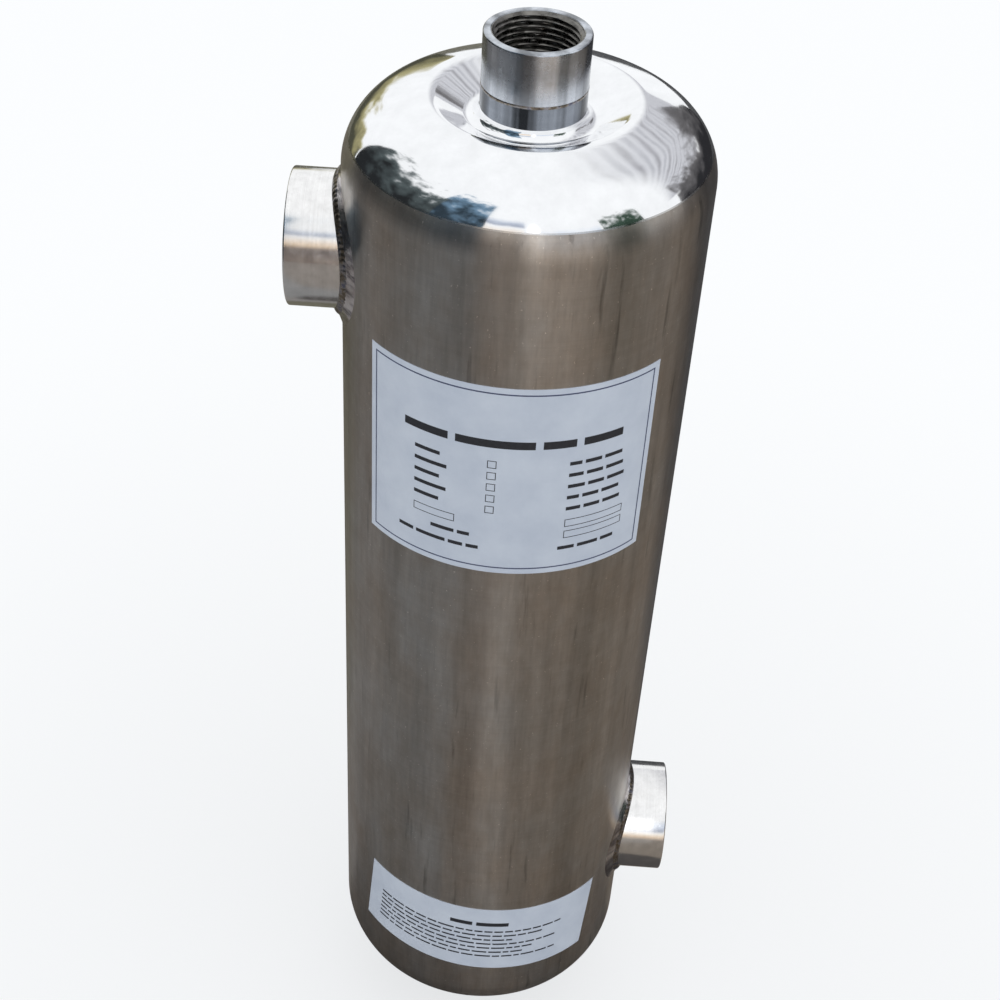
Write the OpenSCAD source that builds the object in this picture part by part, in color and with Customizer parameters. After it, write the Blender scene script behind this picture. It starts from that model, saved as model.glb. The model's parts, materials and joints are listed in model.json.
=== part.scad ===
// Shell-and-tube pool heat exchanger: a stainless vessel with a drawn head on each end, a threaded
// socket on each head for the heating water, and two larger threaded sockets on opposite sides of
// the shell for the pool water. A bundle of straight tubes runs between two tube sheets inside.
// The vessel stands on its bottom socket. The origin is the centre of that socket's end face,
// +Z runs up the vessel, the upper side port points to -X and the labels face -Y.

/* [Shell] */
// Outside diameter of the shell
shell_od = 141.3; // [132:0.1:170]
// Wall of the shell
shell_wall = 2; // [1.2:0.1:3]
// Length of the vessel between the two heads' knuckles
shell_len = 428; // [360:1:600]

/* [Heads] */
// Wall of each head
head_wall = 2; // [1.2:0.1:3]
// Outside radius of the knuckle between the skirt and the crown
knuckle_r = 26; // [20:0.5:30]
// Outside radius of the domed crown
crown_r = 150; // [130:5:200]
// Straight skirt between the knuckle and the girth seam
head_skirt = 2; // [1:0.5:6]
// Radius of the ring on which the crown turns down into the dish round the neck
dish_r = 40; // [36:0.5:42]
// Outside radius of that turn
dish_roll = 8; // [5:0.5:12]
// Slope of the dish in degrees
dish_slope = 30; // [20:1:34]
// Radius of the drawn corner at the foot of the neck
neck_fillet = 4; // [2:0.5:5]
// Straight neck between that corner and the socket
neck_h = 8.7; // [5:0.1:14]

/* [End sockets] */
// Outside diameter of the end sockets and of the necks under them
end_od = 39.6; // [37:0.1:44]
// Wall of the end sockets, from the outside to the crest of the thread
end_wall = 4.6; // [3.8:0.1:5.5]
// Length of the end sockets
end_len = 20.2; // [16:0.1:24]

/* [Side ports] */
// Outside diameter of the side sockets
side_od = 54; // [51:0.1:58]
// Wall of the side sockets, from the outside to the crest of the thread
side_wall = 4.7; // [3.8:0.1:6]
// Reach of the side sockets past the side of the shell
side_len = 20; // [14:0.5:30]
// Width of the seat on the shell under the coped end of a side socket
side_seat = 2.4; // [1.6:0.1:3.5]
// Plain shell between the upper side socket and the upper girth seam
upper_land = 8; // [4:0.5:40]
// Plain shell between the lower side socket and the lower girth seam
lower_land = 31.5; // [4:0.5:60]

/* [Socket mouths and welds] */
// Chamfer at the mouth of each socket
mouth_chamfer = 1.6; // [0.8:0.1:2]
// Edge break on the outside of each socket
edge_break = 0.6; // [0.2:0.1:1]
// Leg of the side sockets' fillet welds up the socket
fillet_up = 2.8; // [1.5:0.1:4]
// Leg of the side sockets' fillet welds along the shell
fillet_out = 2.6; // [1.5:0.1:4]
// Bulge of the side sockets' fillet welds over the straight line between their legs
fillet_bulge = 0.4; // [0.2:0.1:0.8]
// Width of the end sockets' weld beads, which are dressed down
end_bead_w = 1.2; // [0.8:0.1:2.4]
// Height of the end sockets' weld beads
end_bead_h = 0.2; // [0.1:0.05:0.5]

/* [Tube bundle] */
// Outside diameter of the tubes
tube_od = 16; // [12:0.5:18]
// Wall of the tubes
tube_wall = 1; // [0.6:0.1:1.5]
// Distance between neighbouring tubes
tube_pitch = 24; // [21:0.5:25]
// Thickness of the tube sheets
sheet_t = 5; // [3:0.5:6]
// Length of tube that stands out of each tube sheet
tube_stub = 2; // [1:0.5:3]
// Thickness of the baffles
baffle_t = 1.5; // [1:0.1:3]
// Radial clearance where one piece of the bundle sits inside another
seat_gap = 0.1; // [0.05:0.05:0.25]

/* [Labels] */
// Thickness of the label film
label_t = 0.25; // [0.15:0.05:0.4]
// Width of the labels along the shell's surface
label_w = 124; // [100:1:140]
// Radius of the labels' corners
label_corner = 0.5; // [0.5:0.5:6]
// Height of the rating label
rating_h = 91; // [60:1:110]
// Drop of the rating label's upper edge below the upper knuckle
rating_drop = 52; // [45:1:80]
// Height of the lower label
lower_label_h = 47; // [30:1:60]
// Rise of the lower label's middle above the lower knuckle
lower_label_rise = 41; // [38:1:80]
// Slant of the lower label as it was stuck on, right end down
lower_label_slant = 4; // [0:0.5:6]

/* [Hidden] */
$fn = 96;
shell_r = shell_od / 2;
shell_ir = shell_r - shell_wall;
end_r = end_od / 2;
side_r = side_od / 2;
port_hole_r = side_r - side_seat;

// The crown's centre lies on the axis, this far below the knuckle's centre
crown_drop = sqrt(pow(crown_r - knuckle_r, 2) - pow(shell_r - knuckle_r, 2));
crown_turn = asin((shell_r - knuckle_r) / (crown_r - knuckle_r));
// The turn into the dish touches the crown, and the neck's corner touches the dish's slope
roll_turn = asin(dish_r / (crown_r - dish_roll));
roll_z = sqrt(pow(crown_r - dish_roll, 2) - pow(dish_r, 2)) - crown_drop;
corner_r = end_r + neck_fillet;
corner_z = roll_z + (dish_roll + neck_fillet) / cos(dish_slope) - (dish_r - corner_r) * tan(dish_slope);
neck_seam = corner_z + neck_h;
head_reach = neck_seam + end_len;
side_reach = shell_r + side_len;
side_blank = side_reach - shell_r / 2;

// Heights up the vessel
low_knuckle = head_reach;
high_knuckle = low_knuckle + shell_len;
vessel_h = high_knuckle + head_reach;
low_seam = low_knuckle + head_skirt;
high_seam = high_knuckle - head_skirt;
upper_port_z = high_seam - upper_land - side_r;
lower_port_z = low_seam + lower_land + side_r;

// The tubes stand on a hexagonal grid: the centre tube and two rings round it
tube_rings = 2;
baffle_count = 4;
function grid_step(turn) = tube_pitch * [cos(turn), sin(turn)];
TUBES = concat([[0, 0]], [for (ring = [1:tube_rings]) for (side = [30:60:330])
    for (step = [0:ring - 1]) ring * grid_step(side) + step * grid_step(side + 120)]);
row_gap = tube_pitch * sin(60);
plate_r = shell_ir - seat_gap;

function tube_name(i) = str("tube_", i < 9 ? "0" : "", i + 1);
function baffle_name(i) = str("baffle_", i + 1);

brushed = [0.70, 0.69, 0.67];
polished = [0.84, 0.85, 0.86];
weld_grey = [0.55, 0.50, 0.46];
film_white = [0.84, 0.88, 0.93];

// Places at which the pieces of the vessel stand; a port's piece is modelled along +X
module at_top() {
    translate([0, 0, high_knuckle]) children();
}

module at_bottom() {
    translate([0, 0, low_knuckle]) mirror([0, 0, 1]) children();
}

module at_upper_port() {
    translate([0, 0, upper_port_z]) rotate([0, 0, 180]) children();
}

module at_lower_port() {
    translate([0, 0, lower_port_z]) children();
}

// A bar along +X through the shell's wall, for a port's hole and socket
module port_bar(r, reach) {
    rotate([0, 90, 0]) cylinder(h = reach, r = r);
}

// The shell with its two port holes
module shell() {
    length = high_seam - low_seam;
    color(brushed) difference() {
        translate([0, 0, low_seam]) cylinder(h = length, r = shell_r);
        translate([0, 0, low_seam - 1]) cylinder(h = length + 2, r = shell_ir);
        at_upper_port() port_bar(port_hole_r, side_reach);
        at_lower_port() port_bar(port_hole_r, side_reach);
    }
}

// Points along an arc after its first one
arc_steps = 12;
function arc(centre, r, from, to) = [for (i = [1:arc_steps])
    let (a = from + (to - from) * i / arc_steps) centre + r * [cos(a), sin(a)]];

// Half outline of a head and its neck, inset from the outside and run past both ends
module head_outline(inset, past) {
    polygon(concat(
        [[0, -head_skirt - past], [shell_r - inset, -head_skirt - past], [shell_r - inset, 0]],
        arc([shell_r - knuckle_r, 0], knuckle_r - inset, 0, 90 - crown_turn),
        arc([0, -crown_drop], crown_r - inset, 90 - crown_turn, 90 - roll_turn),
        arc([dish_r, roll_z], dish_roll - inset, 90 - roll_turn, 90 + dish_slope),
        [[corner_r, corner_z] + (neck_fillet + inset) * [sin(dish_slope), -cos(dish_slope)]],
        arc([corner_r, corner_z], neck_fillet + inset, 270 + dish_slope, 180),
        [[end_r - inset, neck_seam + past], [0, neck_seam + past]]));
}

// Drawn head with a short neck, its knuckle standing on the XY plane
module head() {
    color(polished) rotate_extrude() difference() {
        head_outline(0, 0);
        head_outline(head_wall, 1);
    }
}

module top_head() {
    at_top() head();
}

module bottom_head() {
    at_bottom() head();
}

// Threaded socket that stands on the XY plane with its mouth up
module socket(outer, wall, length) {
    bore = outer - wall;
    color(polished) rotate_extrude() polygon([
        [bore, 0],
        [outer, 0],
        [outer, length - edge_break],
        [outer - edge_break, length],
        [bore + mouth_chamfer, length],
        [bore, length - mouth_chamfer]]);
}

module end_socket() {
    translate([0, 0, neck_seam]) socket(end_r, end_wall, end_len);
}

module top_socket() {
    at_top() end_socket();
}

module bottom_socket() {
    at_bottom() end_socket();
}

// The side sockets are coped: their inner end is cut to the round of the shell
module side_socket() {
    difference() {
        translate([side_reach, 0, 0]) rotate([0, 90, 0]) translate([0, 0, -side_blank])
            socket(side_r, side_wall, side_blank);
        cylinder(h = 2 * side_od, r = shell_r, center = true);
    }
}

module upper_side_socket() {
    at_upper_port() side_socket();
}

module lower_side_socket() {
    at_lower_port() side_socket();
}

// Low weld bead round a pipe of radius r, centred on the XY plane
module bead(r, width, height) {
    bow = (pow(width / 2, 2) + pow(height, 2)) / (2 * height);
    color(weld_grey) rotate_extrude() intersection() {
        translate([r + height - bow, 0]) circle(r = bow);
        translate([r, -width / 2]) square([height, width]);
    }
}

module end_weld() {
    translate([0, 0, neck_seam]) bead(end_r, end_bead_w, end_bead_h);
}

module top_socket_weld() {
    at_top() end_weld();
}

module bottom_socket_weld() {
    at_bottom() end_weld();
}

// Distance from the axis to the shell's surface, seen along +X at a place beside the port's middle
function shell_x(y) = sqrt(shell_r * shell_r - y * y);

// A point round a port: turn runs round its axis, r and rise count from that axis and from the shell
function round_port(turn, r, rise) = [shell_x(r * cos(turn)) + rise, r * cos(turn), r * sin(turn)];

// Fillet weld along the saddle between a side socket and the shell. It is a plug swept round the port,
// less the socket and the shell; its faces run past the weld's edges into both by a share of their width.
module side_weld() {
    count = 72;
    turns = [for (i = [0:count - 1]) 360 * i / count];
    past = 0.4;
    toe_r = side_r + fillet_out;
    middle_r = side_r + (fillet_out + fillet_bulge) / 2;
    middle_rise = (fillet_up + fillet_bulge) / 2;
    inner_r = side_r - past * (middle_r - side_r);
    inner_rise = fillet_up + past * (fillet_up - middle_rise);
    outer_r = toe_r + past * (toe_r - middle_r);
    top_x = shell_r + 2 * fillet_up;
    foot_x = shell_x(outer_r) - fillet_up;
    rings = [
        [for (a = turns) [top_x, inner_r * cos(a), inner_r * sin(a)]],
        [for (a = turns) round_port(a, inner_r, inner_rise)],
        [for (a = turns) round_port(a, middle_r, middle_rise)],
        [for (a = turns) round_port(a, outer_r, -past * middle_rise)],
        [for (a = turns) [foot_x, outer_r * cos(a), outer_r * sin(a)]]];
    bottom = (len(rings) - 1) * count;
    sides = [for (r = [0:len(rings) - 2]) for (i = [0:count - 1])
        let (j = (i + 1) % count, here = r * count, next = here + count)
        each [[here + i, here + j, next + j], [here + i, next + j, next + i]]];
    top_face = [for (i = [count - 1:-1:0]) i];
    foot_face = [for (i = [0:count - 1]) bottom + i];
    color(weld_grey) difference() {
        polyhedron([for (ring = rings) each ring], concat(sides, [top_face, foot_face]));
        port_bar(side_r, side_reach);
        cylinder(h = 2 * side_od, r = shell_r, center = true);
    }
}

module upper_side_weld() {
    at_upper_port() side_weld();
}

module lower_side_weld() {
    at_lower_port() side_weld();
}

// Round plate of the bundle, drilled for every tube
module drilled_plate(t) {
    color(brushed) difference() {
        cylinder(h = t, r = plate_r);
        for (p = TUBES) translate([p[0], p[1], -1]) cylinder(h = t + 2, r = tube_od / 2 + seat_gap);
    }
}

module upper_tube_sheet() {
    translate([0, 0, high_seam - sheet_t]) drilled_plate(sheet_t);
}

module lower_tube_sheet() {
    translate([0, 0, low_seam]) drilled_plate(sheet_t);
}

module tube(i) {
    length = high_seam - low_seam + 2 * tube_stub;
    color(brushed) translate([TUBES[i][0], TUBES[i][1], low_seam - tube_stub]) difference() {
        cylinder(h = length, r = tube_od / 2);
        translate([0, 0, -1]) cylinder(h = length + 2, r = tube_od / 2 - tube_wall);
    }
}

// Segmental baffle, cut off between two rows of tubes. Neighbours are cut on opposite sides, so that
// the pool water winds past the tubes on its way between the side ports.
module baffle(i) {
    spacing = (upper_port_z - lower_port_z) / (baffle_count + 1);
    edge = 1.5 * row_gap;
    translate([0, 0, lower_port_z + spacing * (i + 1)]) rotate([0, 0, 180 * i]) intersection() {
        drilled_plate(baffle_t);
        translate([edge - 2 * plate_r, -plate_r, -1]) cube([2 * plate_r, 2 * plate_r, baffle_t + 2]);
    }
}

// Film label on the front of the shell, its middle at height z
module label(z, height, slant) {
    half_w = shell_r * sin(label_w / shell_od * 180 / PI);
    inner = [2 * half_w - 2 * label_corner, height - 2 * label_corner];
    color(film_white) translate([0, 0, z]) intersection() {
        difference() {
            cylinder(h = 2 * height, r = shell_r + label_t, center = true);
            cylinder(h = 2 * height + 2, r = shell_r, center = true);
        }
        rotate([90, slant, 0]) linear_extrude(shell_od) {
            square(inner + [2 * label_corner, 0], center = true);
            square(inner + [0, 2 * label_corner], center = true);
            for (x = [-0.5, 0.5], y = [-0.5, 0.5])
                translate([x * inner[0], y * inner[1]]) circle(r = label_corner);
        }
    }
}

module rating_label() {
    label(high_knuckle - rating_drop - rating_h / 2, rating_h, 0);
}

module lower_label() {
    label(low_knuckle + lower_label_rise, lower_label_h, lower_label_slant);
}

shell();
top_head();
bottom_head();
top_socket();
bottom_socket();
upper_side_socket();
lower_side_socket();
top_socket_weld();
bottom_socket_weld();
upper_side_weld();
lower_side_weld();
upper_tube_sheet();
lower_tube_sheet();
rating_label();
lower_label();
for (i = [0:len(TUBES) - 1]) tube(i);
for (i = [0:baffle_count - 1]) baffle(i);
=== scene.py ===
import json
import math
import random

import bmesh
import bpy
from mathutils import Matrix, Vector


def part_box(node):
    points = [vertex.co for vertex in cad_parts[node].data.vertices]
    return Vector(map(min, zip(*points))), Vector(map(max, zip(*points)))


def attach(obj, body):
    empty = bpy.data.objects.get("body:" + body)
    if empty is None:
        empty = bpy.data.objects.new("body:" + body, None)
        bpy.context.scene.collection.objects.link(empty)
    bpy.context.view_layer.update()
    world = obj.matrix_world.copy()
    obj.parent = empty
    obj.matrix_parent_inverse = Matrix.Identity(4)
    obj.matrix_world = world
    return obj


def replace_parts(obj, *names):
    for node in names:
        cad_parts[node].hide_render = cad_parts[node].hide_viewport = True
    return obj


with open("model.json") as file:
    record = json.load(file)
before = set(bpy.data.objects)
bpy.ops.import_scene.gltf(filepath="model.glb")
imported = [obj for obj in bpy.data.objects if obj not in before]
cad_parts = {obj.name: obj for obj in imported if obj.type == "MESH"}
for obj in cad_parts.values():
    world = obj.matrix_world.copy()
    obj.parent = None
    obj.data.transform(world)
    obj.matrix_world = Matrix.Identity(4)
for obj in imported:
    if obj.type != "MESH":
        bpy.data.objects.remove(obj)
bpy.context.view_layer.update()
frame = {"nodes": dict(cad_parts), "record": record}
nodes = frame["nodes"]
mounts = {m["name"]: m for m in frame["record"]["mounts"]}

MM = 0.001

# Sizes read from the frame, in metres
SHELL_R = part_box("top_head")[1].x
SHELL_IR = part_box("upper_tube_sheet")[1].x + 0.1 * MM
LOW_SEAM, HIGH_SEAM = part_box("shell")[0].z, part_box("shell")[1].z
END_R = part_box("top_socket")[1].x
END_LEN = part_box("top_socket")[1].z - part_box("top_socket")[0].z
END_BORE = mounts["top_port"]["dims"]["r_mm"] * MM
TOP_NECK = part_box("top_socket")[0].z
SIDE_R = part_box("upper_side_socket")[1].y
SIDE_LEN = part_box("lower_side_socket")[1].x - SHELL_R
SIDE_BORE = mounts["upper_side_port"]["dims"]["r_mm"] * MM
UPPER_Z = mounts["upper_side_port"]["pos_m"][2]
LOWER_Z = mounts["lower_side_port"]["pos_m"][2]
LABEL_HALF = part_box("rating_label")[1].x

# Sizes of the drawn metal that the frame doesn't give by itself
HEAD_SKIRT = 2 * MM
HEAD_WALL = 2 * MM
NECK_HEIGHT = TOP_NECK - HIGH_SEAM - HEAD_SKIRT
KNUCKLE_R = 26 * MM
CROWN_R = 150 * MM
DISH_R = 40 * MM
DISH_ROLL = 8 * MM
DISH_SLOPE = 30
NECK_FILLET = 4 * MM
PORT_HOLE_R = SIDE_R - 2.4 * MM
FILLET_UP = 3.5 * MM
FILLET_OUT = 3.0 * MM
LOWER_SLANT = math.radians(4)
MOUTH_CHAMFER = 1.6 * MM


# Meshes
def add_piece(name, verts, faces, materials, face_slots=None, sharp=32):
    """A mesh object that rides on the vessel, smooth apart from edges sharper than an angle."""
    mesh = bpy.data.meshes.new(name)
    mesh.from_pydata([tuple(v) for v in verts], [], faces)
    for material in materials:
        mesh.materials.append(material)
    if face_slots:
        mesh.polygons.foreach_set("material_index", face_slots)
    bm = bmesh.new()
    bm.from_mesh(mesh)
    bmesh.ops.remove_doubles(bm, verts=bm.verts, dist=0.002 * MM)
    bmesh.ops.recalc_face_normals(bm, faces=bm.faces)
    bm.to_mesh(mesh)
    bm.free()
    mesh.shade_smooth()
    mesh.set_sharp_from_angle(angle=math.radians(sharp))
    piece = bpy.data.objects.new(name, mesh)
    bpy.context.scene.collection.objects.link(piece)
    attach(piece, "root")
    return piece


def ring_faces(rings, count, closed=False):
    """Quads between rings of count points each, as indices into the rings laid end to end."""
    faces = []
    steps = rings if closed else rings - 1
    for r in range(steps):
        here, after = r * count, (r + 1) % rings * count
        for i in range(count):
            j = (i + 1) % count
            faces.append((here + i, here + j, after + j, after + i))
    return faces


def revolve(profile, count):
    """Points of a closed outline turned round Z, and the quads between them."""
    verts = []
    for r, z in profile:
        for i in range(count):
            turn = 2 * math.pi * i / count
            verts.append((r * math.cos(turn), r * math.sin(turn), z))
    return verts, ring_faces(len(profile), count, closed=True)


def arc(centre, radius, start, end, steps):
    """Points of an arc in the half plane of a revolve; angles in degrees."""
    points = []
    for i in range(steps + 1):
        angle = math.radians(start + (end - start) * i / steps)
        points.append((centre[0] + radius * math.cos(angle), centre[1] + radius * math.sin(angle)))
    return points


def placed(verts, matrix):
    """Points moved by a matrix."""
    return [matrix @ Vector(v) for v in verts]


AT_TOP = Matrix.Translation((0, 0, HIGH_SEAM + HEAD_SKIRT))
AT_BOTTOM = Matrix.Translation((0, 0, LOW_SEAM - HEAD_SKIRT)) @ Matrix.Rotation(math.pi, 4, "X")
AT_UPPER_PORT = Matrix.Translation((0, 0, UPPER_Z)) @ Matrix.Rotation(-math.pi / 2, 4, "Y")
AT_LOWER_PORT = Matrix.Translation((0, 0, LOWER_Z)) @ Matrix.Rotation(math.pi / 2, 4, "Y")


# Materials
class Nodes:
    """A short way to write a material's node tree."""

    def __init__(self, name):
        self.material = bpy.data.materials.new(name)
        self.material.use_nodes = True
        self.tree = self.material.node_tree
        self.shader = self.tree.nodes["Principled BSDF"]

    def add(self, kind, **settings):
        node = self.tree.nodes.new("ShaderNode" + kind)
        for key, value in settings.items():
            setattr(node, key, value)
        return node

    def link(self, source, target):
        self.tree.links.new(source, target)

    def set(self, **values):
        for key, value in values.items():
            self.shader.inputs[key.replace("_", " ")].default_value = value

    def place(self):
        """Object coordinates."""
        return self.add("TexCoord").outputs["Object"]

    def position(self, scale):
        """Object coordinates stretched along each axis."""
        mapping = self.add("Mapping")
        mapping.inputs["Scale"].default_value = scale
        self.link(self.place(), mapping.inputs["Vector"])
        return mapping.outputs["Vector"]

    def noise(self, scale, detail=4.0, rough=0.55):
        texture = self.add("TexNoise")
        texture.inputs["Scale"].default_value = 1.0
        texture.inputs["Detail"].default_value = detail
        texture.inputs["Roughness"].default_value = rough
        self.link(self.position(scale), texture.inputs["Vector"])
        return texture.outputs["Fac"]

    def ramp(self, value, stops):
        """A colour ramp; stops are (place, colour or grey)."""
        node = self.add("ValToRGB")
        elements = node.color_ramp.elements
        while len(elements) < len(stops):
            elements.new(1.0)
        for element, (place, colour) in zip(elements, stops):
            element.position = place
            grey = isinstance(colour, (int, float))
            element.color = (colour, colour, colour, 1) if grey else (*colour, 1)
        self.link(value, node.inputs["Fac"])
        return node.outputs["Color"]

    def mix(self, first, second, fac=1.0, blend="MULTIPLY"):
        """Two colours mixed; each is a tuple or a socket."""
        node = self.add("Mix", data_type="RGBA", blend_type=blend)
        if isinstance(fac, float):
            node.inputs["Factor"].default_value = fac
        else:
            self.link(fac, node.inputs["Factor"])
        for source, socket in ((first, node.inputs[6]), (second, node.inputs[7])):
            if isinstance(source, tuple):
                socket.default_value = (*source, 1)
            else:
                self.link(source, socket)
        return node.outputs[2]

    def bump(self, height, distance, strength=1.0):
        node = self.add("Bump")
        node.inputs["Distance"].default_value = distance
        node.inputs["Strength"].default_value = strength
        self.link(height, node.inputs["Height"])
        return node.outputs["Normal"]

    def colour(self, source):
        self.link(source, self.shader.inputs["Base Color"])

    def roughness(self, source):
        self.link(source, self.shader.inputs["Roughness"])

    def normal(self, source):
        self.link(source, self.shader.inputs["Normal"])

    def tangent_round(self, axis):
        node = self.add("Tangent", direction_type="RADIAL", axis=axis)
        self.link(node.outputs["Tangent"], self.shader.inputs["Tangent"])

    def rise(self, value, low, high, start=0.0):
        """A smooth rise from a start to 1 while a value goes from low to high."""
        node = self.add("MapRange", interpolation_type="SMOOTHSTEP")
        node.inputs["From Min"].default_value = low
        node.inputs["From Max"].default_value = high
        node.inputs["To Min"].default_value = start
        self.link(value, node.inputs["Value"])
        return node.outputs["Result"]

    def surface(self, shader):
        self.link(shader, self.tree.nodes["Material Output"].inputs["Surface"])

    def surface_mix(self, fac, first, second):
        """A surface between two shaders."""
        node = self.add("MixShader")
        self.link(fac, node.inputs["Fac"])
        self.link(first, node.inputs[1])
        self.link(second, node.inputs[2])
        self.surface(node.outputs["Shader"])


def brushed_steel(name, tint, warm):
    """Stainless sheet brushed round the vessel, with streaks, drips and specks."""
    n = Nodes(name)
    n.set(Metallic=1.0, Anisotropic=0.8, Anisotropic_Rotation=0.25)
    n.tangent_round("Z")
    lines = n.noise((14, 14, 2600), 4, 0.75)
    bands = n.noise((3, 3, 420), 3, 0.6)
    streaks = n.noise((95, 95, 6), 5, 0.6)
    drips = n.noise((210, 210, 16), 4, 0.55)
    grain = n.noise((620, 620, 60), 4, 0.65)
    mottle = n.noise((190, 190, 120), 4, 0.6)
    smudges = n.noise((34, 34, 20), 6, 0.62)
    specks = n.noise((1050, 1050, 800), 2, 0.5)
    base = n.mix(tint, warm, n.ramp(smudges, [(0.36, 0.0), (0.66, 1.0)]), "MIX")
    base = n.mix(base, n.ramp(lines, [(0.25, 0.94), (0.75, 1.05)]))
    base = n.mix(base, n.ramp(bands, [(0.3, 0.97), (0.7, 1.03)]))
    base = n.mix(base, n.ramp(streaks, [(0.32, 0.83), (0.68, 1.13)]))
    base = n.mix(base, n.ramp(drips, [(0.62, 1.0), (0.74, 0.58)]))
    base = n.mix(base, n.ramp(grain, [(0.3, 0.93), (0.7, 1.06)]))
    base = n.mix(base, n.ramp(mottle, [(0.32, (0.94, 0.92, 0.905)), (0.68, (1.05, 1.05, 1.05))]))
    base = n.mix(base, n.ramp(specks, [(0.69, 1.0), (0.76, 1.7)]))
    n.colour(base)
    n.roughness(n.ramp(smudges, [(0.25, 0.27), (0.8, 0.40)]))
    n.normal(n.bump(lines, 0.012 * MM, 0.20))
    return n.material


def polished_steel(name, tint, rough, wobble):
    """Mirror-polished steel whose surface is a little uneven from drawing."""
    n = Nodes(name)
    n.set(Metallic=1.0)
    haze = n.noise((120, 120, 120), 5, 0.6)
    dents = n.noise((30, 30, 30), 3, 0.5)
    n.colour(n.mix(tint, n.ramp(haze, [(0.3, 0.93), (0.7, 1.02)])))
    n.roughness(n.ramp(haze, [(0.3, rough), (0.75, rough * 2.4)]))
    n.normal(n.bump(dents, wobble))
    return n.material


def dressed_steel_with_painted_reflection(name, tint):
    """Steel dressed by a grinder beside a weld: bright strokes among stained ones, and dark bluish
    strokes that are painted reflection of dark streaks.
    """
    n = Nodes(name)
    n.set(Metallic=1.0)
    strokes_and_reflections = n.noise((90, 90, 420), 4, 0.65)
    stain = n.noise((70, 70, 70), 4, 0.6)
    # The strokes are grinder marks in the bump and roughness; their dark bluish colour is painted
    # reflection of dark streaks.
    base = n.mix(tint, n.ramp(strokes_and_reflections, [(0.36, (0.30, 0.29, 0.32)), (0.58, (1.15, 1.15, 1.15))]))
    n.colour(n.mix(base, n.ramp(stain, [(0.40, (0.55, 0.50, 0.47)), (0.60, (1.0, 1.0, 1.0))])))
    n.roughness(n.ramp(strokes_and_reflections, [(0.3, 0.20), (0.7, 0.10)]))
    n.normal(n.bump(strokes_and_reflections, 0.10 * MM, 0.8))
    return n.material


def turned_steel(name, tint, axis, lines_scale, rough=0.12, painted_reflection_streak=0.0):
    """A turned part: fine tool lines round its own axis and a share of upright streaks, which are
    painted reflection bands.
    """
    n = Nodes(name)
    n.set(Metallic=1.0, Anisotropic=0.5, Anisotropic_Rotation=0.25)
    n.tangent_round(axis)
    lines = n.noise(lines_scale, 2, 0.6)
    marks = n.noise((220, 220, 220), 5, 0.6)
    base = n.mix(tint, n.ramp(lines, [(0.3, 0.94), (0.7, 1.03)]))
    base = n.mix(base, n.ramp(marks, [(0.3, 0.88), (0.65, 1.04)]))
    # Upright streaks across the tool lines are painted reflection bands, lighter and darker by the
    # given share.
    streaks = n.noise((120, 120, 4), 3, 0.55)
    n.colour(n.mix(base, n.ramp(streaks, [(0.36, 1 - painted_reflection_streak), (0.64, 1 + painted_reflection_streak)])))
    n.roughness(n.ramp(marks, [(0.3, rough), (0.75, rough + 0.12)]))
    n.normal(n.bump(lines, 0.006 * MM, 0.4))
    return n.material


def weld_metal(name):
    """Weld bead with straw, brown and blue heat tint."""
    n = Nodes(name)
    n.set(Metallic=1.0)
    patches = n.noise((260, 260, 260), 4, 0.6)
    grain = n.noise((1500, 1500, 1500), 3, 0.6)
    tint = n.ramp(patches, [(0.30, (0.10, 0.085, 0.08)), (0.44, (0.24, 0.20, 0.15)),
                            (0.54, (0.36, 0.34, 0.34)), (0.64, (0.20, 0.20, 0.26))])
    n.colour(n.mix(tint, n.ramp(grain, [(0.3, 0.8), (0.7, 1.1)])))
    n.roughness(n.ramp(grain, [(0.3, 0.22), (0.7, 0.4)]))
    n.normal(n.bump(grain, 0.03 * MM, 0.6))
    return n.material


def thread_painted_shade(name):
    """Cut thread, coloured dark as painted shade inside the bore."""
    n = Nodes(name)
    n.set(Metallic=1.0)
    film = n.noise((300, 300, 300), 4, 0.6)
    # The dark colour, darker in patches, is painted shade inside the bore.
    n.colour(n.ramp(film, [(0.3, (0.10, 0.095, 0.09)), (0.7, (0.30, 0.29, 0.27))]))
    n.roughness(n.ramp(film, [(0.3, 0.22), (0.7, 0.38)]))
    return n.material


def tube_metal(name):
    """Drawn tube, dull."""
    n = Nodes(name)
    n.set(Metallic=1.0)
    film = n.noise((160, 160, 60), 5, 0.6)
    n.colour(n.ramp(film, [(0.3, (0.34, 0.32, 0.30)), (0.7, (0.50, 0.48, 0.46))]))
    n.roughness(n.ramp(film, [(0.3, 0.28), (0.7, 0.45)]))
    return n.material


def label_film(name):
    """Pale vinyl film with faint smears."""
    n = Nodes(name)
    n.set(Coat_Weight=0.25, Coat_Roughness=0.25)
    smears = n.noise((60, 60, 60), 5, 0.6)
    n.colour(n.ramp(smears, [(0.3, (0.505, 0.565, 0.67)), (0.7, (0.595, 0.655, 0.75))]))
    n.roughness(n.ramp(smears, [(0.3, 0.36), (0.7, 0.48)]))
    return n.material


def ink(name, colour):
    """Printed ink, a little worn."""
    n = Nodes(name)
    n.set(Roughness=0.5)
    wear = n.noise((900, 900, 900), 3, 0.6)
    n.colour(n.mix(colour, n.ramp(wear, [(0.3, 0.8), (0.7, 1.25)])))
    return n.material


BRUSHED = brushed_steel("brushed_shell", (0.53, 0.515, 0.495), (0.48, 0.43, 0.38))
POLISHED = polished_steel("polished_head", (0.965, 0.97, 0.98), 0.045, 0.22 * MM)
HALF_POLISHED = polished_steel("half_polished_head", (0.66, 0.65, 0.635), 0.15, 0.10 * MM)
# The ground ramps beside the side ports, with painted reflection in their dark strokes.
GROUND_STEEL_AND_REFLECTION = dressed_steel_with_painted_reflection("ground_ramp", (0.66, 0.64, 0.65))
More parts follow.
